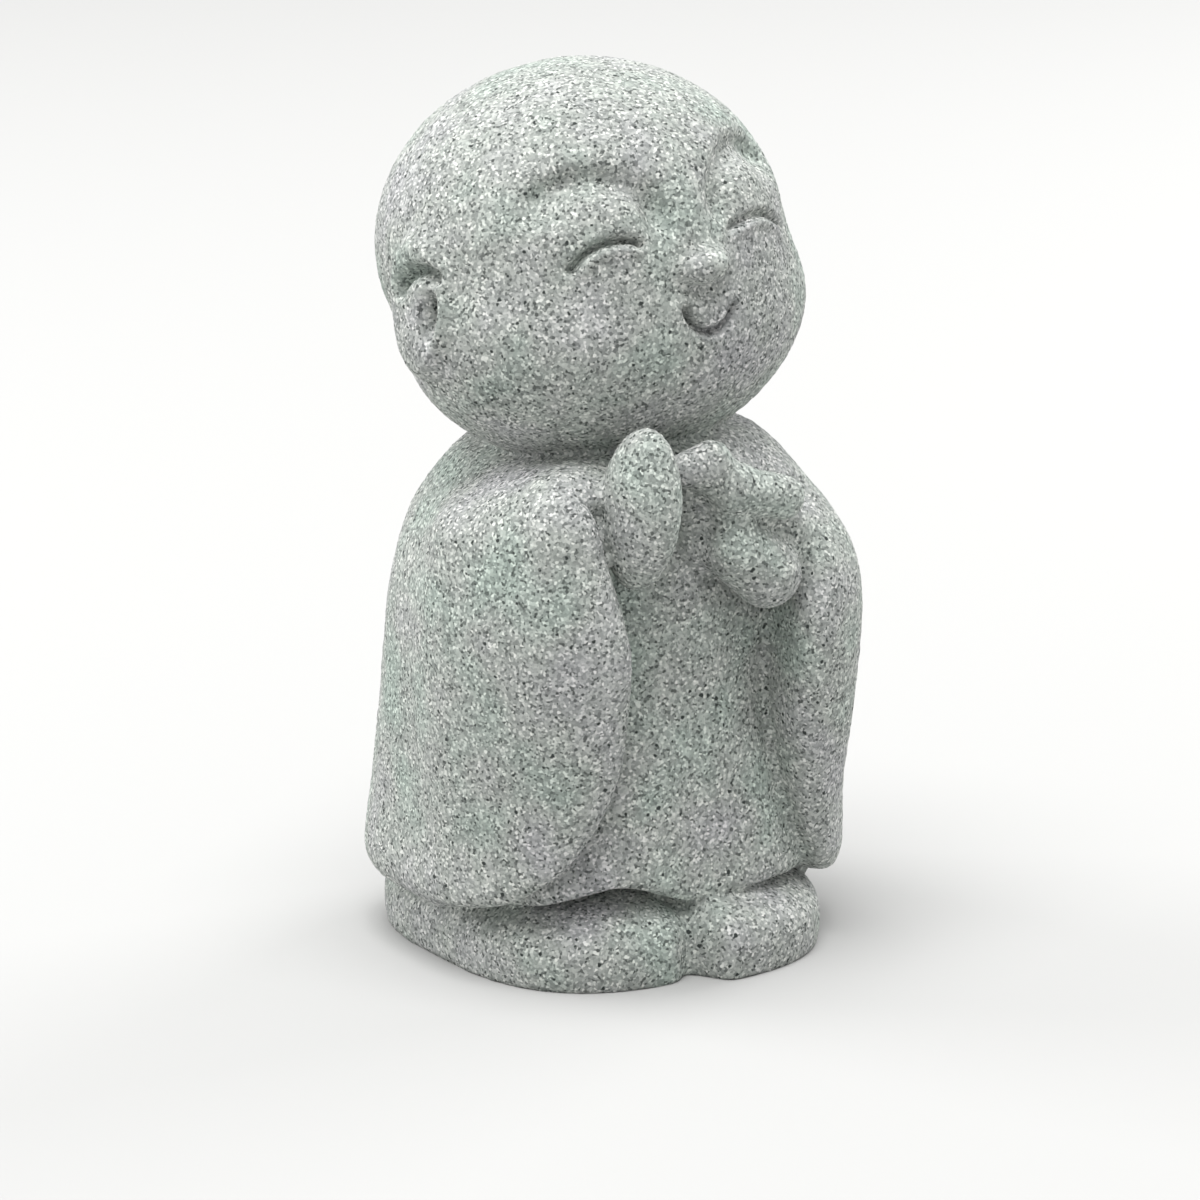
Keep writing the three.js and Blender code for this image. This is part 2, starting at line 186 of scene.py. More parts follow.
skull = ellipsoid((0, 1.13, 1.8), (13.45, 13.4, 11.4))
cheeks = ellipsoid((0, -1.1, -2.85), (14.2, 11.4, 9.6))
nose = ellipsoid((0.1, -11.9, 1.2), (1.85, 1.75, 1.2))
CHEEK_JOIN, NOSE_JOIN = 1.2, 0.7

brow = pressed_arc((5.75, 3.85), (3.65, 3.35), ends=(26, 178), width=0.95, depth=1.05, fade=20)
beside_the_nose = pressed_hollow((2.7, 4.1), (1.15, 1.9), depth=0.55)
under_the_nose = pressed_hollow((0.0, 0.05), (1.8, 0.75), depth=0.75)

EAR_MIDDLE, EAR_RADII, EAR_RISE = (0.1, -0.2), (3.3, 4.7), 0.8
EAR_EDGE = (0.82, 1.12)  # its rim falls to the head between these parts of its radii
EAR_START = (8, 10)  # how far from the middle of the head the ears begin
ear_groove = pressed_arc((-0.6, 0), (2.3, 2.15), ends=(12, 128), width=0.5, depth=1.35)
ear_hole = pressed_hollow((-1.6, -0.6), (0.55, 1.15), depth=2.6)


def ear(x, y, z):
    """How far the skin stands up from the side of the head."""
    reach = np.hypot((y - EAR_MIDDLE[0]) / EAR_RADII[0], (z - EAR_MIDDLE[1]) / EAR_RADII[1])
    raised = EAR_RISE * (1 - ease(*EAR_EDGE, reach))
    return (raised - ear_groove(y, z) - ear_hole(y, z)) * ease(*EAR_START, np.abs(x))


def head_form(x, y, z):
    bare = soft_min(skull(x, y, z), cheeks(x, y, z), CHEEK_JOIN)
    both_sides = np.abs(x)
    hollows = brow(both_sides, z) + beside_the_nose(both_sides, z) + under_the_nose(x, z)
    carved = bare + hollows * ease(0, -2, y) - ear(x, y, z)
    return soft_min(carved, nose(x, y, z), NOSE_JOIN)


head = turned(head_form, HEAD_CENTRE, HEAD_TILT)
print("clay over the middle of the head, mm:", round(-float(head(*HEAD_CENTRE)), 1))

# %% [markdown]
# ## The robe
#
# The robe is a rounded box under a dome, a little wider at the hem. It is cut open down the
# front between the two sleeves, and a gown fills the opening. Each sleeve lies over a forearm
# and hangs straight down from it, which is why a sleeve is a limb that has been drawn downwards.

# %% The robe's outside
ROBE_HALF_WIDTH, ROBE_HALF_DEPTH = 15.15, 14.1
SQUARENESS = 2.5  # 2 is an ellipse, more is boxier
SHOULDER_START, SHOULDER_RISE = 21, 16.2
FLARE_START, FLARE, FLARE_CURVE = 11, 0.03, 1.5
LOW, ELBOW, NECK = 5, 24, 31  # heights at which the robe's middle changes its course
LOW_LEAN, ELBOW_LEAN, NECK_RETURN = 0.85, -1.65, 0.75


def lean(z):
    """The y of the robe's middle at a height: back at the hem, forward at the elbow."""
    return mix(LOW_LEAN, ELBOW_LEAN, ease(LOW, ELBOW, z)) + NECK_RETURN * ease(ELBOW, NECK, z)


def mantle(half_width, half_depth):
    def form(x, y, z):
        below = np.maximum(FLARE_START - z, 0) / (FLARE_START - LOW)
        flare = 1 + FLARE * below**FLARE_CURVE
        px, py = np.abs(x) / (half_width * flare), np.abs(y - lean(z)) / (half_depth * flare)
        across = (px**SQUARENESS + py**SQUARENESS) ** (1 / SQUARENESS)
        dome = np.maximum(z - SHOULDER_START, 0) / SHOULDER_RISE
        return (np.sqrt(across * across + dome * dome) - 1) * half_depth

    return form


robe_outside = mantle(ROBE_HALF_WIDTH, ROBE_HALF_DEPTH)
print("robe at the hem leans by", lean(0), "mm, at the elbow by", lean(ELBOW), "mm")

# %% The gown in the opening
GOWN_HALF_WIDTH, GOWN_HALF_DEPTH = 12.4, 8.7
GOWN_HEM, GOWN_HEM_ROUNDING = 4.75, 1.0
SEAM = -0.3  # x of the V between the arches over the feet
RIGHT_ARCH, LEFT_ARCH, ARCH_WIDTH = 1.7, 0.45, 12
FALL_JOIN = 1.5

gown_body = mantle(GOWN_HALF_WIDTH, GOWN_HALF_DEPTH)
gown_falls = [limb((SEAM, -5.4, 27), 4.2, (x, -3.6, 6), 8.8) for x in (-3.4, 3.0)]


def gown(x, y, z):
    rise = np.where(x < SEAM, RIGHT_ARCH, LEFT_ARCH)
    across = np.clip(np.abs(x - SEAM) / ARCH_WIDTH, 0, 1)
    hem = GOWN_HEM + rise * np.sin(across * math.pi) ** 2
    cloth = gown_body(x, y, z)
    for fall in gown_falls:
        cloth = soft_min(cloth, fall(x, y, z), FALL_JOIN)
    return soft_max(cloth, hem - z, GOWN_HEM_ROUNDING)


OPENING_EDGE, OPENING_SWEEP = (6.9, 6.2), (0.045, 0.02)  # on its right, on its left
SWEEP_START = 17  # below this height the sleeves' edges sweep outwards
SPREAD_START, SPREAD = 23, 0.18  # above this one they spread
OPENING_BACK, OPENING_FRONT, OPENING_CLOSES = -4, -12, (26, 33)


def opening(x, y, z):
    """Negative in the space between the two sleeves."""
    edge, sweep = np.where(x < 0, *OPENING_EDGE), np.where(x < 0, *OPENING_SWEEP)
    swept = sweep * np.maximum(SWEEP_START - z, 0) ** 2
    edge = edge + swept + SPREAD * np.maximum(z - SPREAD_START, 0)
    front = mix(OPENING_BACK, OPENING_FRONT, ease(*OPENING_CLOSES, z))
    return np.maximum(np.abs(x) - edge, y - front)


print("the opening is", round(sum(OPENING_EDGE), 1), "mm wide at the waist")

# %% The sleeves
DRAPE_SLOPE, DRAPE_START = 0.11, 4  # how fast a sleeve narrows below its arm
SLEEVE_JOIN, OPENING_ROUNDING, GOWN_JOIN = 4.5, 2.2, 0.6
ROBE_HEM, ROBE_HEM_ROUNDING = 3.9, 2.6


def sleeve(elbow, elbow_radius, cuff, cuff_radius):
    """A forearm, with every level below it a copy of its own middle, drawn in slowly."""
    arm = limb(elbow, elbow_radius, cuff, cuff_radius)
    axis = (elbow[2] + cuff[2]) / 2

    def form(x, y, z):
        below = np.maximum(axis - z, 0)
        drawn_in = DRAPE_SLOPE * below * below / (below + DRAPE_START)
        return arm(x, y, np.maximum(z, axis)) + drawn_in

    return form


sleeves = [
    sleeve((-12.6, -4.0, 28.4), 2.6, (-9.4, -9.6, 30.1), 3.4),
    sleeve((9.2, -4.6, 22), 3.0, (7.8, -9.0, 25.0), 3.1),
]


def robe(x, y, z):
    shell = robe_outside(x, y, z)
    for one in sleeves:
        shell = soft_min(shell, one(x, y, z), SLEEVE_JOIN)
    opened = soft_max(shell, -opening(x, y, z), OPENING_ROUNDING)
    hemmed = soft_max(opened, ROBE_HEM - z, ROBE_HEM_ROUNDING)
    return soft_min(hemmed, gown(x, y, z), GOWN_JOIN)


print("clay inside the chest, mm:", round(-float(robe(0.0, 0.0, 20.0)), 1))

# %% [markdown]
# ## Feet and hands
#
# Both feet and the heels share one outline, with a crease pressed in between the toes. The right
# hand is a flat leaf. The left hand is cupped, so it is made of short limbs: fingers above, a
# palm behind and the thumb below. A wrist joins each hand to its sleeve.

# %% Feet
CREASE, CREASE_BLEND = -1.4, 1.8  # x of the crease, and how softly one foot turns into the other
RIGHT_REACH, LEFT_REACH = 12.2, 13.6  # sideways from the crease
RIGHT_FRONT, LEFT_FRONT, HEELS = 13.3, 14.9, 14.2  # forwards and back
WIDEST, INSTEP = 1.9, 4.1  # the height at which they are widest, and the rise above it
SIDE_BELOW = 0.6  # 0 is a straight side down to the ground, 1 is an egg's
FEET_SQUARENESS, FEET_UPRIGHTNESS = 2.8, 2.6  # 2 is round from above or from the side
CREASE_WIDTH, CREASE_DEPTH, CREASE_ENDS = 1.1, 1.7, (-5, -9)


def feet(x, y, z):
    to_left = ease(CREASE - CREASE_BLEND, CREASE + CREASE_BLEND, x)
    front = mix(RIGHT_FRONT, LEFT_FRONT, to_left)
    px = np.abs(x - CREASE) / mix(RIGHT_REACH, LEFT_REACH, to_left)
    py = np.abs(y) / mix(front, HEELS, ease(-CREASE_BLEND, CREASE_BLEND, y))
    pz = (z - WIDEST) / INSTEP * np.where(z < WIDEST, SIDE_BELOW, 1)
    around = (px**FEET_SQUARENESS + py**FEET_SQUARENESS) ** (1 / FEET_SQUARENESS)
    upright = around**FEET_UPRIGHTNESS + np.abs(pz) ** FEET_UPRIGHTNESS
    egg = upright ** (1 / FEET_UPRIGHTNESS) - 1
    across = (x - CREASE) / CREASE_WIDTH
    return egg * front + CREASE_DEPTH * np.exp(-across * across) * ease(*CREASE_ENDS, y)


print("clay inside the heels, mm:", round(-float(feet(CREASE, 5.0, WIDEST)), 1))

# %% Hands, and the whole figure
FINGER_JOIN, WRIST_JOIN, FEET_JOIN, HEAD_JOIN, HANDS_JOIN = 0.7, 0.5, 0.7, 0.5, 0.5
NECK_CREASE_WIDTH, NECK_CREASE_DEPTH = 0.9, 0.35

right_hand = turned(ellipsoid((0, 0, 0), (1.85, 2.95, 5.2)), (-5.85, -12.9, 32.0), (4, 4, 20))
right_wrist = limb((-9.4, -8.6, 29.4), 1.9, (-6.2, -11.0, 30.6), 1.3)
left_hand = [
    limb((-1.8, -12.0, 33.8), 1.2, (-0.2, -12.4, 34.2), 1.4),  # fingertip
    limb((-0.2, -12.2, 33.6), 1.4, (1.5, -12.6, 32.3), 1.5),  # finger
    limb((1.5, -12.6, 32.3), 1.5, (5.0, -13.1, 31.3), 1.45),  # knuckles
    limb((1.5, -11.7, 32.4), 1.5, (2.1, -11.6, 28.8), 1.7),  # palm
    limb((2.0, -12.0, 28.1), 2.1, (4.3, -12.3, 26.3), 2.3),  # thumb
    limb((3.6, -10.4, 30.4), 2.0, (6.6, -10.2, 28.2), 2.6),  # wrist
    limb((-0.4, -10.2, 32.4), 1.4, (0.9, -9.6, 28.4), 2.1),  # the clay behind the palm
]


def hands(x, y, z):
    cupped = left_hand[0](x, y, z)
    for part in left_hand[1:]:
        cupped = soft_min(cupped, part(x, y, z), FINGER_JOIN)
    leaf = soft_min(right_hand(x, y, z), right_wrist(x, y, z), WRIST_JOIN)
    return np.minimum(leaf, cupped)


def figure(x, y, z):
    dressed = soft_min(robe(x, y, z), feet(x, y, z), FEET_JOIN)
    from_head = head(x, y, z)
    near_head = from_head / NECK_CREASE_WIDTH
    creased = dressed + NECK_CREASE_DEPTH * np.exp(-near_head * near_head)
    headed = soft_min(creased, from_head, HEAD_JOIN)
    return soft_min(headed, hands(x, y, z), HANDS_JOIN)


def standing(x, y, z):
    """The figure, cut flat at the ground."""
    return np.maximum(figure(x, y, z), -z)


print("clay at the nose tip, mm:", round(float(figure(-1.1, -12.7, 46.2)), 2))

# %% [markdown]
# ## Closed eyes and a smile
#
# The eyes and mouth are single lines pressed into the clay, about half a millimetre wide. A
# line pressed into a soft surface pushes up a small rim beside it, and that rim catches the
# light, so each eye is a groove with a low ridge just below it. The lines are kept apart from
# the clay, because they are pressed straight into the finished skin further down.

# %% Closed eyes and a smile
RIM_BELOW, RIM_WIDTH, RIM_RISE = 0.55, 0.34, 0.18


def eye(middle, radius, ends, depth):
    """The line where the lids meet, above the rim of the lower lid."""
    line = pressed_arc(middle, (radius, radius), ends, width=0.27, depth=depth, fade=5)
    lower = radius - RIM_BELOW
    rim = pressed_arc(middle, (lower, lower), ends, width=RIM_WIDTH, depth=RIM_RISE, fade=8)
    return lambda u, v: line(u, v) - rim(u, v)


right_eye = eye((5.7, 0.5), 3.2, ends=(28, 122), depth=1.0)
left_eye = eye((5.0, -1.9), 5.3, ends=(41, 114), depth=0.55)
mouth = pressed_arc((0.35, -0.9), (2.0, 2.2), ends=(186, 340), width=0.3, depth=1.1, fade=6)


def face_lines(x, y, z):
    """How deep the lines are pressed in, at a point in the head's own frame."""
    eyes = np.where(x < 0, right_eye(-x, z), left_eye(x, z))
    return (eyes + mouth(x, z)) * ease(-4, -6, y)


print("the mouth at its lowest is pressed in by", round(float(mouth(0.35, -3.1)), 2), "mm")

# %% [markdown]
# ## Laying a skin over the clay
#
# Blender has no object for a distance function, so a mesh is laid over it here. The space is
# divided into small cells. Each cell that the surface passes through gets one vertex, and each
# cell edge that it cuts gets one four-sided face. This makes even, square faces, which take a
# displacement well. A metaball object would be quicker to write, but it rounds creases off.

# %% Sampling the clay
CELL = 0.345  # mm, about two grains of sand
NEAR_CORNER, FAR_CORNER = np.array([-18.0, -18.0, -1.5 * CELL]), np.array([18.0, 18.0, 60.5])
SLAB = 12  # layers sampled at once, so that the memory stays small
JUST_SOLID = -0.01


def sampled(form, low, high, cell):
    counts = np.ceil((high - low) / cell).astype(int) + 1
    axes = [low[k] + cell * np.arange(counts[k]) for k in range(3)]
    value = np.empty(counts)
    for i in range(0, counts[0], SLAB):
        value[i : i + SLAB] = form(*np.meshgrid(axes[0][i : i + SLAB], *axes[1:], indexing="ij"))
    return value


def fill_pinches(value):
    """Fills bubbles of one corner, and corners where two sheets of skin would share an edge."""
    while True:
        solid, filled = value < 0, value.copy()
        around = [np.roll(solid, step, axis) for axis in range(3) for step in (1, -1)]
        filled[~solid & np.all(around, axis=0)] = JUST_SOLID
        for u, v in ((0, 1), (1, 2), (2, 0)):
            beside, above = np.roll(solid, -1, u), np.roll(solid, -1, v)
            across = np.roll(beside, -1, v)
            pinch = (solid == across) & (beside == above) & (solid != beside)
            for steps in ((0, 0), (1, 0), (0, 1), (1, 1)):
                corner = np.roll(pinch, steps, (u, v))
                filled[corner] = np.minimum(filled[corner], JUST_SOLID)
        if np.array_equal(filled < 0, solid):
            return value
        value = filled


clay = fill_pinches(sampled(standing, NEAR_CORNER, FAR_CORNER, CELL))
print("sampled at", clay.size, "corners, of which", int((clay < 0).sum()), "are in the clay")


# %% Laying the skin
def skin(value, low, cell):
    """Vertices and four-sided faces over the zero level of sampled distances."""
    size = np.array(value.shape)
    offsets = [np.array([(c >> k) & 1 for k in range(3)]) for c in range(8)]
    solid = value < 0
    at_corner = [solid[tuple(slice(o[k], size[k] - 1 + o[k]) for k in range(3))] for o in offsets]
    crossed = np.any(at_corner, axis=0) & ~np.all(at_corner, axis=0)
    cells = np.argwhere(crossed)
    number = np.full(crossed.shape, -1)
    number[crossed] = np.arange(len(cells))

    total, crossings = np.zeros((len(cells), 3)), np.zeros(len(cells))
    for a in range(8):
        for step in (1, 2, 4):
            if a & step:
                continue
            value_a = value[tuple((cells + offsets[a]).T)]
            value_b = value[tuple((cells + offsets[a | step]).T)]
            cut = (value_a < 0) != (value_b < 0)
            t = value_a[cut] / (value_a[cut] - value_b[cut])
            total[cut] += mix(offsets[a], offsets[a | step], t[:, None])
            crossings[cut] += 1
    vertices = low + (cells + total / crossings[:, None]) * cell

    faces = []
    for axis in range(3):
        step, u, v = (np.roll([1, 0, 0], axis + k) for k in range(3))
        here = np.argwhere(solid != np.roll(solid, -1, axis))
        ring = [number[tuple((here - back).T)] for back in (0 * u, u, u + v, v)]
        quads = np.stack(ring, axis=1)
        outward = solid[tuple(here.T)]
        faces.append(np.where(outward[:, None], quads, quads[:, ::-1]))
    return vertices, np.concatenate(faces)


vertices, faces = skin(clay, NEAR_CORNER, CELL)
print("skin:", len(vertices), "vertices,", len(faces), "faces")

# %% [markdown]
# ## Finer faces where the carving is fine
#
# The lines of the eyes, mouth and ears are hardly wider than a face of that skin. The faces near
# them are cut in two each way, and those on the eyes and mouth are cut once more. Every vertex is
# then moved onto the clay's own surface, so the skin is smooth again, and the lines are pressed in.

# %% Where the carving is fine
FINE_SPOTS = [  # a point in the head's own frame, and how far round it the faces are cut
    ((-5.7, -10.2, 2.2), 4.6),
    ((5.7, -10.2, 2.2), 4.8),
    ((0, -12.4, -1.0), 3.4),
    ((-13.4, -1.0, 0.6), 4.0),
    ((13.4, -1.0, 0.6), 4.0),
]
LINE_EDGE = 0.004  # mm of pressing that counts as being on a line


def in_head_frame(points):
    return np.stack(turned(lambda x, y, z: (x, y, z), HEAD_CENTRE, HEAD_TILT)(*points.T), axis=1)


def near_fine_spot(points):
    local = in_head_frame(points)
    within = [np.linalg.norm(local - spot, axis=1) < reach for spot, reach in FINE_SPOTS]
    return np.any(within, axis=0)


def on_a_line(points):
    return np.abs(face_lines(*in_head_frame(points).T)) > LINE_EDGE


print("skin near a fine spot:", int(near_fine_spot(vertices).sum()), "vertices")


# %% Tools for a mesh
def cut_finer(mesh, where):
    """Cuts each edge between two vertices of the chosen region in two."""
    cloud = bmesh.new()
    cloud.from_mesh(mesh)
    chosen = where(np.array([v.co for v in cloud.verts]))
    edges = [e for e in cloud.edges if chosen[e.verts[0].index] and chosen[e.verts[1].index]]
    bmesh.ops.subdivide_edges(cloud, edges=edges, cuts=1, use_grid_fill=True)
    bmesh.ops.triangulate(cloud, faces=[f for f in cloud.faces if len(f.verts) > 4])
    cloud.to_mesh(mesh)
    cloud.free()


def numbers_of(mesh, name):
    """The vertices' own places or normals as rows of three."""
    flat = np.empty(len(mesh.vertices) * 3)
    mesh.vertices.foreach_get(name, flat)
    return flat.reshape(-1, 3)


def place(mesh, points):
    mesh.vertices.foreach_set("co", points.ravel())
    mesh.update()


FEELER = 0.04  # mm to either side of a point, to find which way is out
GENTLEST = 0.25  # the least slope, squared, so that no point is thrown far


def onto(form, points, furthest, passes=4):
    """Moves points to the form's surface, each by no more than a given distance."""
    start = points.copy()
    for _ in range(passes):
        shifts = FEELER * np.eye(3)
        rise = [form(*(points + s).T) - form(*(points - s).T) for s in shifts]
        slope = np.stack(rise, axis=1) / (2 * FEELER)
        steep = np.maximum((slope * slope).sum(axis=1), GENTLEST)
        moved = points - (form(*points.T) / steep)[:, None] * slope - start
        length = np.linalg.norm(moved, axis=1)
        points = start + moved * np.minimum(1, furthest / np.maximum(length, 1e-9))[:, None]
    return points


probe = onto(standing, vertices[:1], furthest=CELL)
print("first vertex after moving, mm from the clay:", abs(standing(*probe[0])).round(4))

# %% Cutting, moving and pressing
mesh = bpy.data.meshes.new("jizo_casting")
mesh.from_pydata(vertices.tolist(), [], faces.tolist())
cut_finer(mesh, near_fine_spot)
cut_finer(mesh, on_a_line)
place(mesh, onto(standing, numbers_of(mesh, "co"), furthest=CELL))
points = numbers_of(mesh, "co")
pressed = face_lines(*in_head_frame(points).T)
points = points - numbers_of(mesh, "normal") * pressed[:, None]
points[:, 2] = np.maximum(points[:, 2], 0)
print("after cutting finer:", len(points), "vertices; deepest line, mm:", pressed.max().round(2))

# %% [markdown]
# ## The size of the real one
#
# The casting fills the solid's box exactly, so it is scaled by the last few percent onto it.

# %% The size of the real one
box_low, box_high = (np.array(corner) / MM for corner in solid_box)
own_low, own_high = points.min(axis=0), points.max(axis=0)
stretch = (box_high - box_low) / (own_high - own_low)
points = box_low + (points - own_low) * stretch
print("stretched by", stretch.round(3))

# %% [markdown]
# ## Sand in the surface
#
# Cast sandstone is a mould full of sand held by a little cement. The grains stand up out of the
# skin by a few hundredths of a millimetre. That relief is in the mesh itself: a push of its own
# for each vertex, because a face is only about two grains wide, and a slow waviness under it
# where the mould was rammed unevenly. The underside is scraped flat, so it stays smooth.

# %% Sand in the surface
GRAIN_RELIEF = 0.020  # mm
WAVINESS = 0.018  # mm
WAVE_LENGTH = 4.5  # mm
WAVES = 24
BARE_BELOW, FULL_ABOVE = 0.1, 0.8  # mm above the ground

sand = np.random.default_rng(58)


def waviness(points):
    """A slow random swell, as a sum of waves in random directions."""
    swell = np.zeros(len(points))
    for _ in range(WAVES):
        direction = sand.normal(size=3)
        length = WAVE_LENGTH * sand.uniform(0.7, 1.6)
        direction *= 2 * math.pi / (length * np.linalg.norm(direction))
        swell += np.sin(points @ direction + sand.uniform(0, 2 * math.pi))
    return swell / math.sqrt(WAVES / 2)


place(mesh, points)
grain_push = sand.normal(size=len(points)).clip(-2, 2)
push = GRAIN_RELIEF * grain_push + WAVINESS * waviness(points)
push *= ease(BARE_BELOW, FULL_ABOVE, points[:, 2])
points = np.clip(points + numbers_of(mesh, "normal") * push[:, None], box_low, box_high)
place(mesh, points * MM)
mesh.polygons.foreach_set("use_smooth", [True] * len(mesh.polygons))
print("relief, mm:", push.min().round(3), "to", push.max().round(3))

# %% [markdown]
# ## The material: cast sandstone
#
# Sand and a little cement are rammed into a mould and knocked out when they have set. Every grain
# keeps a shade of its own, so the finish is a cell pattern with one random grey for each cell.
# Quartz grains are nearly white. The specks are dark mineral grains and painted shade in open pits.
# Cement and damp give slow greenish and violet clouds. Nothing on it is glossy.

# %% Helpers for shader nodes
def srgb(hex_code):
    """A hex colour as the linear numbers that shaders use."""
    channels = [int(hex_code[k : k + 2], 16) / 255 for k in (1, 3, 5)]
    return [c / 12.92 if c <= 0.04045 else ((c + 0.055) / 1.055) ** 2.4 for c in channels] + [1]


def add_node(tree, kind, settings=None, **links):
    """Adds a node. Each link is an input's name with a value or with the socket that feeds it.

    An underscore stands for a space, and an input without a name of its own goes by its number.
    """
    node = tree.nodes.new(kind)
    for name, value in (settings or {}).items():
        setattr(node, name, value)
    for name, value in links.items():
        socket = node.inputs[int(name[1:]) if name[1:].isdigit() else name.replace("_", " ")]
        if isinstance(value, bpy.types.NodeSocket):
            tree.links.new(value, socket)
        else:
            socket.default_value = value
    return node


def set_ramp(node, stops):
    ramp = node.color_ramp
    while len(ramp.elements) < len(stops):
        ramp.elements.new(0.5)
    for element, (position, colour) in zip(ramp.elements, stops):
        element.position, element.color = position, srgb(colour)


print("middle grey #a5a9a6 is", round(srgb("#a5a9a6")[1], 2), "in linear light")

# %% Grains of sand
GRAIN = 0.17  # mm across, fine sieved sand

stone = bpy.data.materials.new("cast_sandstone")
stone.use_nodes = True
tree = stone.node_tree
tree.nodes.clear()
where = add_node(tree, "ShaderNodeTexCoord").outputs["Object"]

grains = add_node(tree, "ShaderNodeTexVoronoi", Vector=where, Scale=1 / (GRAIN * MM))
grain_shade = add_node(tree, "ShaderNodeSeparateColor", Color=grains.outputs["Color"])
grain_colour = add_node(tree, "ShaderNodeValToRGB", Fac=grain_shade.outputs["Red"])
grain_stops = [
    (0.0, "#4f5351"),  # dark mineral
    (0.16, "#898d8b"),
    (0.55, "#a5a9a6"),  # cement-coated sand
    (0.86, "#c0c3c0"),
    (1.0, "#e6e7e4"),  # bare quartz
]
set_ramp(grain_colour, grain_stops)
print("grains:", GRAIN, "mm across, in", len(grain_stops), "shades")

# %% Clouds of damp and cement
CLOUD = 6.0  # mm

clouds = add_node(tree, "ShaderNodeTexNoise", Vector=where, Scale=1 / (CLOUD * MM), Detail=3.0)
cloud_colour = add_node(tree, "ShaderNodeValToRGB", Fac=clouds.outputs["Fac"])
set_ramp(cloud_colour, [(0.3, "#e4efe8"), (0.5, "#eeefec"), (0.7, "#efecf0")])
clouded = add_node(
    tree,
    "ShaderNodeMix",
    dict(data_type="RGBA", blend_type="MULTIPLY"),
    _0=1.0,
    _6=grain_colour.outputs["Color"],
    _7=cloud_colour.outputs["Color"],
)
print("clouds:", CLOUD, "mm across")

# %% Dark specks and pits
SPECK = 0.6  # mm between dark specks
SPECK_RADIUS = 0.24  # the largest, in parts of that distance
SPECKLESS = 0.45  # the part of the cells that holds no speck
RAGGED_LENGTH, RAGGED_SHIFT = 0.25, 0.22  # mm, the length and depth of the bends in their outlines

ragged = add_node(
    tree, "ShaderNodeTexNoise", Vector=where, Scale=1 / (RAGGED_LENGTH * MM), Detail=1.0
)
moved = add_node(
    tree,
    "ShaderNodeVectorMath",
    dict(operation="MULTIPLY_ADD"),
    _0=ragged.outputs["Color"],
    _1=(RAGGED_SHIFT * MM, RAGGED_SHIFT * MM, RAGGED_SHIFT * MM),
    _2=where,
)
specks = add_node(
    tree, "ShaderNodeTexVoronoi", Vector=moved.outputs["Vector"], Scale=1 / (SPECK * MM)
)
speck_size = add_node(tree, "ShaderNodeSeparateColor", Color=specks.outputs["Color"])
speck_edge = add_node(
    tree,
    "ShaderNodeMapRange",
    _0=speck_size.outputs["Green"],
    _1=SPECKLESS,
    _2=1.0,
    _3=0.0,
    _4=SPECK_RADIUS,
)
in_speck = add_node(
    tree,
    "ShaderNodeMath",
    dict(operation="LESS_THAN"),
    _0=specks.outputs["Distance"],
    _1=speck_edge.outputs["Result"],
)
# The specks are painted #313634 and pressed in: dark mineral grains, and painted shade inside open
# pits.
coloured = add_node(
    tree,
    "ShaderNodeMix",
    dict(data_type="RGBA"),
    _0=in_speck.outputs["Value"],
    _6=clouded.outputs[2],
    _7=srgb("#313634"),
)
print("specks: up to", round(2 * SPECK_RADIUS * SPECK, 2), "mm across, every", SPECK, "mm")

# %% The surface
BUMP = 0.05  # mm from the lowest grain to the highest

grain_height = add_node(
    tree,
    "ShaderNodeMath",
    dict(operation="SUBTRACT"),
    _0=grain_shade.outputs["Blue"],
    _1=in_speck.outputs["Value"],
)
bump = add_node(
    tree,
    "ShaderNodeBump",
    Strength=0.6,
    Distance=BUMP * MM,
    Height=grain_height.outputs["Value"],
)
surface = add_node(
    tree,
    "ShaderNodeBsdfPrincipled",
    Base_Color=coloured.outputs[2],
    Roughness=0.92,
    IOR=1.5,
    Normal=bump.outputs["Normal"],
)
add_node(tree, "ShaderNodeOutputMaterial", Surface=surface.outputs["BSDF"])
print("cast_sandstone:", len(tree.nodes), "nodes")

# %% [markdown]
# ## The finished casting
#
# The mesh becomes one object in the stone slot. It takes the place of the plain solid, and it rides
# on the part's only body.

# %% The finished casting
casting = bpy.data.objects.new("jizo_casting", mesh)
bpy.context.collection.objects.link(casting)
mesh.materials.append(stone)
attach(casting, "root")
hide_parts("jizo_statue")
mesh.calc_loop_triangles()
print("casting:", len(mesh.loop_triangles), "triangles")

# %% [markdown]
# ## Floor and light
#
# A pale floor runs back out of sight, so the stone stands on light. Most of the light is an even
# pale world, which is how a white tent round a small object lights it. A large softbox high above,
# a little to the left, models the robe's folds. Two low softboxes at the sides and behind draw a
# light edge round the figure.

# %% Floor
FLOOR_SIZE = 4.0  # m

floor_mesh = bpy.data.meshes.new("studio_floor")
half = FLOOR_SIZE / 2
corners = [(-half, -half, 0), (half, -half, 0), (half, half, 0), (-half, half, 0)]
floor_mesh.from_pydata(corners, [], [(0, 1, 2, 3)])
floor = bpy.data.objects.new("studio_floor", floor_mesh)
bpy.context.collection.objects.link(floor)

paper = bpy.data.materials.new("white_paper")
paper.use_nodes = True
paper_surface = paper.node_tree.nodes["Principled BSDF"]
paper_surface.inputs["Base Color"].default_value = srgb("#b0b0af")
paper_surface.inputs["Roughness"].default_value = 0.9
floor_mesh.materials.append(paper)
print("floor:", FLOOR_SIZE, "m square")

# %% Light
world = bpy.data.worlds.new("studio_world")
world.use_nodes = True
world.node_tree.nodes["Background"].inputs["Color"].default_value = srgb("#ffffff")
world.node_tree.nodes["Background"].inputs["Strength"].default_value = 0.75
bpy.context.scene.world = world
bpy.context.scene.view_settings.view_transform = "Standard"
MIDDLE = Vector((0, 0, 29))  # mm, half way up the figure


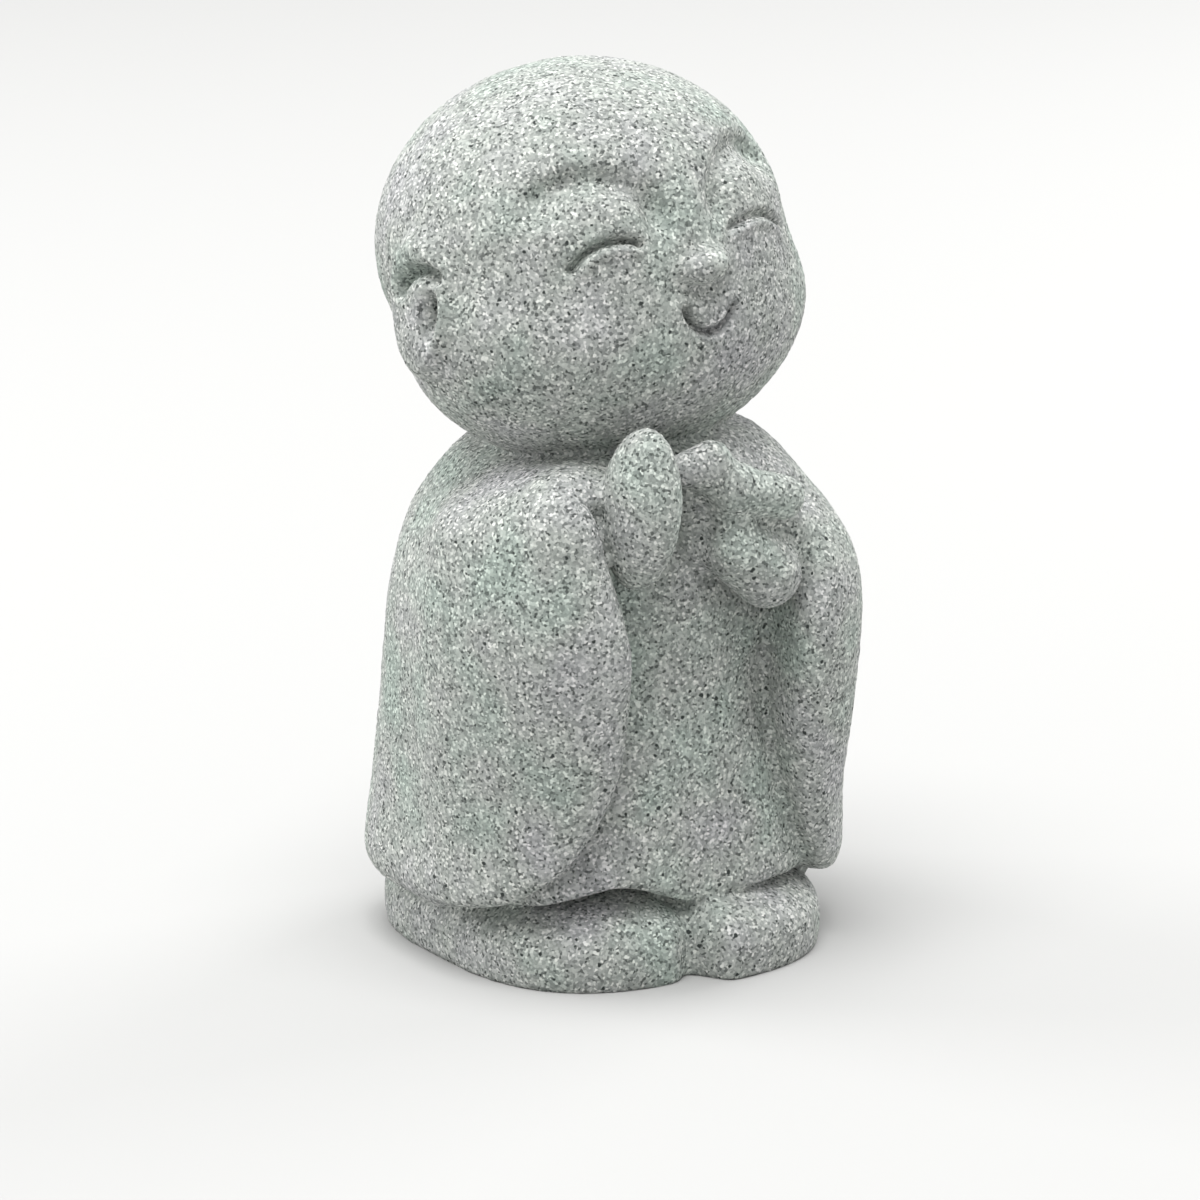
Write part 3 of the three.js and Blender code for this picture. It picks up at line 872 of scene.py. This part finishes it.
def from_the_side(azimuth, elevation):
    """Unit vectors to the viewer, to the picture's right and to its top."""
    a, e = math.radians(azimuth), math.radians(elevation)
    back = Vector((math.sin(a) * math.cos(e), -math.cos(a) * math.cos(e), math.sin(e)))
    right = Vector((math.cos(a), math.sin(a), 0))
    return back, right, back.cross(right)


def softbox(name, azimuth, elevation, distance, width, power):
    """A square lamp that faces the figure: angles in degrees, lengths in mm, power in watts."""
    lamp = bpy.data.lights.new(name, "AREA")
    lamp.size, lamp.energy = width * MM, power
    holder = bpy.data.objects.new(name, lamp)
    back = from_the_side(azimuth, elevation)[0]
    holder.location = (back * distance + MIDDLE) * MM
    holder.rotation_euler = back.to_track_quat("Z", "Y").to_euler()
    bpy.context.collection.objects.link(holder)
    print(name + ":", power, "W at", distance, "mm")


softbox("top_softbox", azimuth=-60, elevation=78, distance=1200, width=860, power=18.5)
softbox("left_softbox", azimuth=-140, elevation=24, distance=480, width=260, power=1.15)
softbox("right_softbox", azimuth=100, elevation=26, distance=480, width=260, power=1.1)

# %% [markdown]
# ## Camera
#
# The camera stands to the figure's right and a little above it. It aims below the figure's
# middle, and slightly to the left, which leaves more room under the feet than over the head.

# %% Camera
VIEW_AZIMUTH, VIEW_ELEVATION = -33, 14.5  # degrees
VIEW_DISTANCE = 400  # mm
AIM = (-0.52, -6.38)  # mm right of and above the middle of the figure
FIELD_OF_VIEW = 78.1759  # mm across the picture at that distance
SENSOR = 36  # mm

back, right, up = from_the_side(VIEW_AZIMUTH, VIEW_ELEVATION)
camera_data = bpy.data.cameras.new("camera")
camera_data.sensor_width = SENSOR
camera_data.lens = SENSOR * VIEW_DISTANCE / FIELD_OF_VIEW
camera = bpy.data.objects.new("camera", camera_data)
camera.location = (MIDDLE + back * VIEW_DISTANCE) * MM
aim = MIDDLE + right * AIM[0] + up * AIM[1]
camera.rotation_euler = (camera.location / MM - aim).to_track_quat("Z", "Y").to_euler()
bpy.context.collection.objects.link(camera)
bpy.context.scene.camera = camera
print("camera:", round(camera_data.lens), "mm lens,", round(FIELD_OF_VIEW), "mm across the picture")
